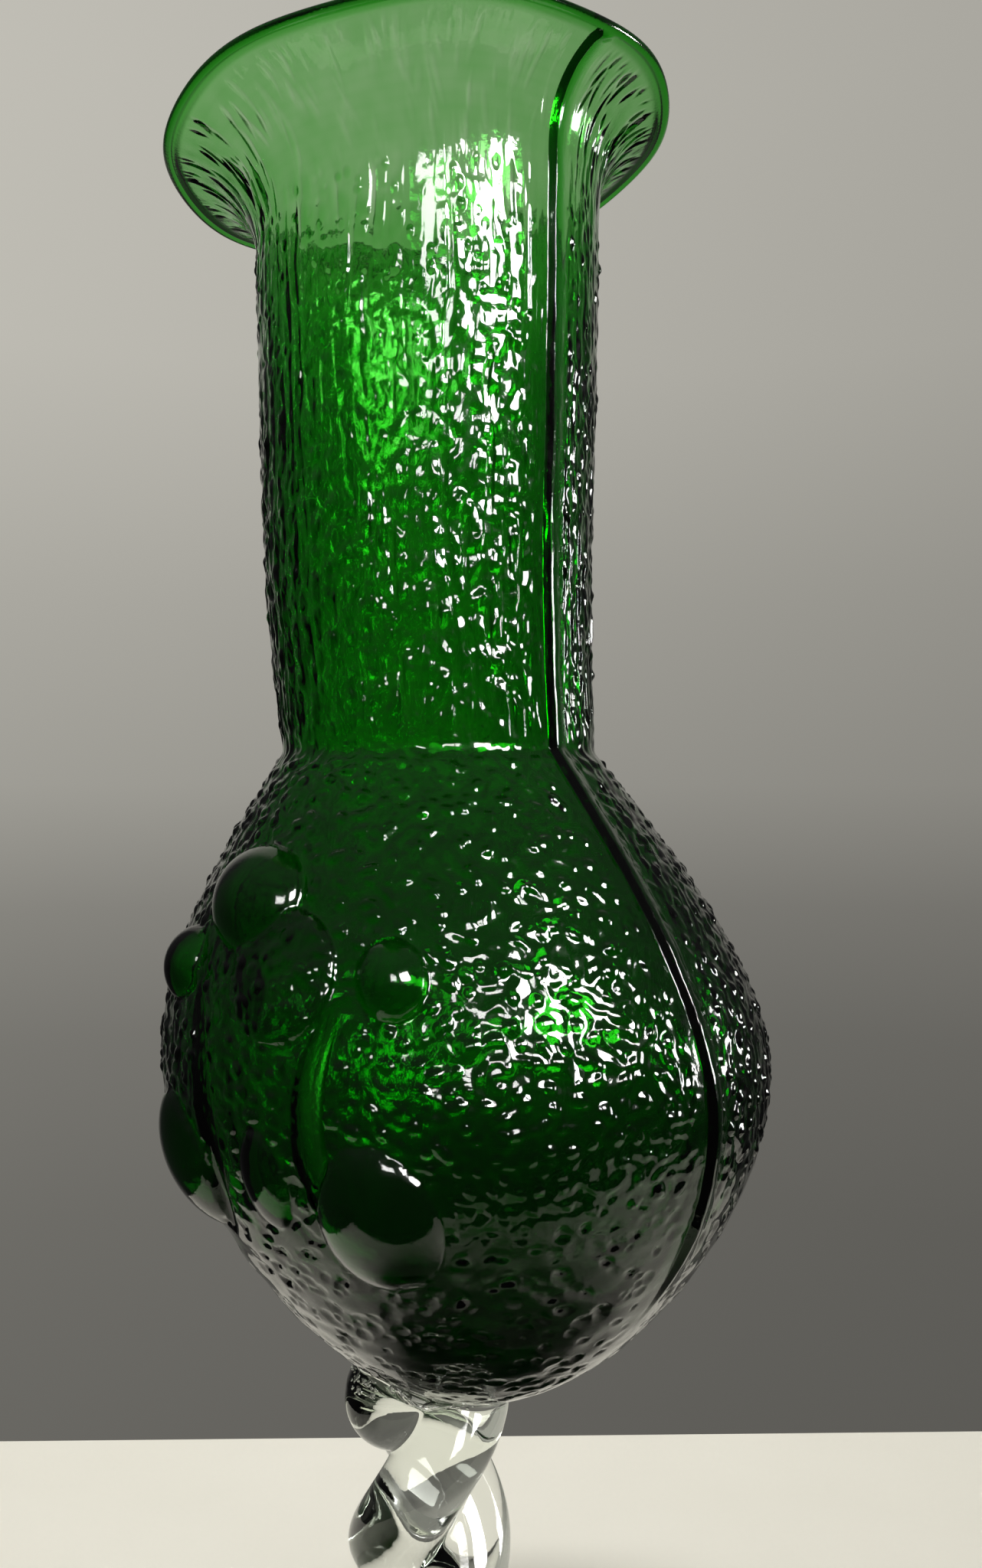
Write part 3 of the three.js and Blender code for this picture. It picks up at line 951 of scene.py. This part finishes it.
def moulded_green():
    return glass(
        "moulded_green", density=1100, colour=(0.15, 0.755, 0.058), ior=1.52,
        ripple_size=0.0011, ripple_height=0.00003, haze=(0.0, 0.05),
    )


def worked_clear():
    return glass(
        "worked_clear", density=5, colour=(0.72, 0.86, 0.62), ior=1.5,
        ripple_size=0.006, ripple_height=0.00006, haze=(0.0, 0.03),
    )


def pale_table():
    material = bpy.data.materials.new("pale_table")
    material.use_nodes = True
    nodes = Nodes(material.node_tree)
    output = nodes.add("ShaderNodeOutputMaterial")
    shader = nodes.add("ShaderNodeBsdfPrincipled", Roughness=0.55)
    mottle = nodes.add("ShaderNodeTexNoise", Scale=9.0, Detail=5.0)
    ramp = nodes.add("ShaderNodeValToRGB")
    ramp.color_ramp.elements[0].color = (0.66, 0.635, 0.545, 1)
    ramp.color_ramp.elements[1].color = (0.70, 0.675, 0.585, 1)
    nodes.join(mottle.outputs["Fac"], ramp.inputs["Fac"])
    nodes.join(ramp.outputs["Color"], shader.inputs["Base Color"])
    nodes.join(shader.outputs[0], output.inputs["Surface"])
    return material


def make_table():
    bpy.ops.mesh.primitive_cube_add(size=1)
    table = bpy.context.object
    table.name = "table"
    table.scale = (TABLE_RIGHT - TABLE_LEFT, TABLE_BACK - TABLE_FRONT, TABLE_THICKNESS)
    middle = (TABLE_LEFT + TABLE_RIGHT) / 2, (TABLE_BACK + TABLE_FRONT) / 2
    table.location = (*middle, -TABLE_GAP - TABLE_THICKNESS / 2)
    bpy.ops.object.transform_apply(location=True, rotation=False, scale=True)
    table.rotation_euler = (0, 0, radians(TABLE_TURN))
    bevel = table.modifiers.new("edges", "BEVEL")
    bevel.width = TABLE_BEVEL
    bevel.segments = 3
    table.data.materials.append(pale_table())
    return table


def brightness_ramp(nodes, rise, stops, tint):
    """Colour against the sine of the angle above the horizon, which rise gives from 0 to 1."""
    node = nodes.add("ShaderNodeValToRGB")
    elements = node.color_ramp.elements
    while len(elements) < len(stops):
        elements.new(0.5)
    for element, (height, level) in zip(elements, stops):
        element.position = (height + 1) / 2
        element.color = (*(level * t for t in tint), 1)
    nodes.join(rise, node.inputs["Fac"])
    return node.outputs["Color"]


def scenery(nodes, parts, camera, through):
    """The wall, with painted light that makes it brighter toward the top and painted shade that
    makes it darker to the right, which fades into the room toward the viewer's side. Seen directly
    it goes all the way round, and much of it still shows through the glass."""
    x, y, z = parts
    rise = nodes.fade(z, -1, 1, "LINEAR")
    wall = nodes.add("ShaderNodeVectorMath", operation="SCALE")
    # Painted light and shade on the wall: brighter toward the top, darker to the right
    nodes.join(brightness_ramp(nodes, rise, WALL, WALL_TINT), wall.inputs[0])
    nodes.join(nodes.math("MULTIPLY_ADD", x, -WALL_FALL, 1.0), wall.inputs["Scale"])
    aside = nodes.math("ABSOLUTE", nodes.math("ARCTAN2", x, y))
    behind = nodes.fade(aside, radians(WALL_ENDS[1]), radians(WALL_ENDS[0]))
    beside = nodes.math("MULTIPLY_ADD", through, WALL_THROUGH, camera)
    around = nodes.add("ShaderNodeMixRGB")
    nodes.join(nodes.math("MAXIMUM", behind, beside), around.inputs["Fac"])
    nodes.join(brightness_ramp(nodes, rise, ROOM, (1, 1, 1)), around.inputs["Color1"])
    nodes.join(wall.outputs["Vector"], around.inputs["Color2"])
    return around.outputs["Color"]


def window_light(nodes, parts):
    """Brightness of the windows, each with soft edges and a faint glow around it."""
    x, y, z = parts
    azimuth = nodes.math("ARCTAN2", x, nodes.math("MULTIPLY", y, -1.0))
    height = nodes.math("ARCSINE", z)
    light = 0.0
    for turn, up, half_width, half_height, brightness in WINDOWS:
        across = nodes.math("ABSOLUTE", nodes.math("SUBTRACT", azimuth, radians(turn)))
        above = nodes.math("ABSOLUTE", nodes.math("SUBTRACT", height, radians(up)))
        pane, glow = (
            nodes.math("MULTIPLY", *(
                nodes.fade(off, radians(half + softness), radians(half))
                for off, half in ((across, half_width), (above, half_height))
            ))
            for softness in (WINDOW_EDGE, WINDOW_GLOW)
        )
        shine = nodes.math("MULTIPLY_ADD", glow, GLOW_SHARE, pane)
        light = nodes.math("MULTIPLY_ADD", shine, float(brightness), light)
    return light


def make_world():
    """The wall and the windows for what the glass shows, and a low even light for the table."""
    world = bpy.data.worlds.new("studio")
    bpy.context.scene.world = world
    world.use_nodes = True
    nodes = Nodes(world.node_tree)
    output = nodes.add("ShaderNodeOutputWorld")
    where = nodes.add("ShaderNodeTexCoord")
    split = nodes.add("ShaderNodeSeparateXYZ")
    nodes.join(where.outputs["Generated"], split.inputs[0])
    path = nodes.add("ShaderNodeLightPath")
    kinds = ("Is Camera Ray", "Is Glossy Ray", "Is Transmission Ray")
    camera, glossy, through = (path.outputs[kind] for kind in kinds)
    seen = nodes.math("MAXIMUM", nodes.math("MAXIMUM", camera, glossy), through)

    even = nodes.add("ShaderNodeBackground", Color=(ROOM_LIGHT, ROOM_LIGHT, ROOM_LIGHT, 1))
    backdrop = nodes.add("ShaderNodeBackground")
    nodes.join(scenery(nodes, split.outputs, camera, through), backdrop.inputs["Color"])
    windows = nodes.add("ShaderNodeBackground", Color=WINDOW_TINT)
    hidden = nodes.math("SUBTRACT", 1.0, camera)
    light = nodes.math("MULTIPLY", window_light(nodes, split.outputs), hidden)
    nodes.join(light, windows.inputs["Strength"])
    both = nodes.add("ShaderNodeAddShader")
    nodes.join(backdrop.outputs[0], both.inputs[0])
    nodes.join(windows.outputs[0], both.inputs[1])
    mix = nodes.add("ShaderNodeMixShader")
    nodes.join(seen, mix.inputs[0])
    nodes.join(even.outputs[0], mix.inputs[1])
    nodes.join(both.outputs[0], mix.inputs[2])
    nodes.join(mix.outputs[0], output.inputs["Surface"])


def make_lamp():
    """One soft lamp over the vase, for the table and the shadow on it."""
    lamp = bpy.data.lights.new("ceiling", "AREA")
    lamp.size = CEILING_SIZE
    lamp.energy = CEILING_POWER
    holder = bpy.data.objects.new("ceiling", lamp)
    bpy.context.scene.collection.objects.link(holder)
    holder.location = CEILING_AT
    holder.visible_camera = False
    holder.visible_glossy = False
    holder.visible_transmission = False


def make_camera():
    """A level camera that looks toward the back of the scene."""
    camera = bpy.data.cameras.new("camera")
    camera.lens = CAMERA_LENS
    holder = bpy.data.objects.new("camera", camera)
    holder.location = CAMERA_AT
    holder.rotation_euler = (pi / 2, 0, 0)
    bpy.context.scene.collection.objects.link(holder)
    bpy.context.scene.camera = holder


def set_up(scene):
    """Plain colours, and enough bounces for light to pass through all the walls of the glass."""
    scene.view_settings.view_transform = "Standard"
    scene.cycles.max_bounces = 24
    scene.cycles.transmission_bounces = 24
    scene.cycles.transparent_max_bounces = 24
    scene.cycles.caustics_reflective = False
    scene.cycles.caustics_refractive = False


make_camera()
set_up(bpy.context.scene)
make_world()
make_lamp()
make_table()

green = moulded_green()
clear = worked_clear()
for piece, material, slot, nodes in [
    (make_vessel(), green, "green_glass", ["blown_vessel"]),
    (make_stem(), clear, "clear_glass", ["twisted_stem", "joint_gather"]),
    (make_foot(), clear, "clear_glass", ["cast_foot"]),
]:
    piece.data.materials.append(material)
    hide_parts(*nodes)
    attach(piece, "root")
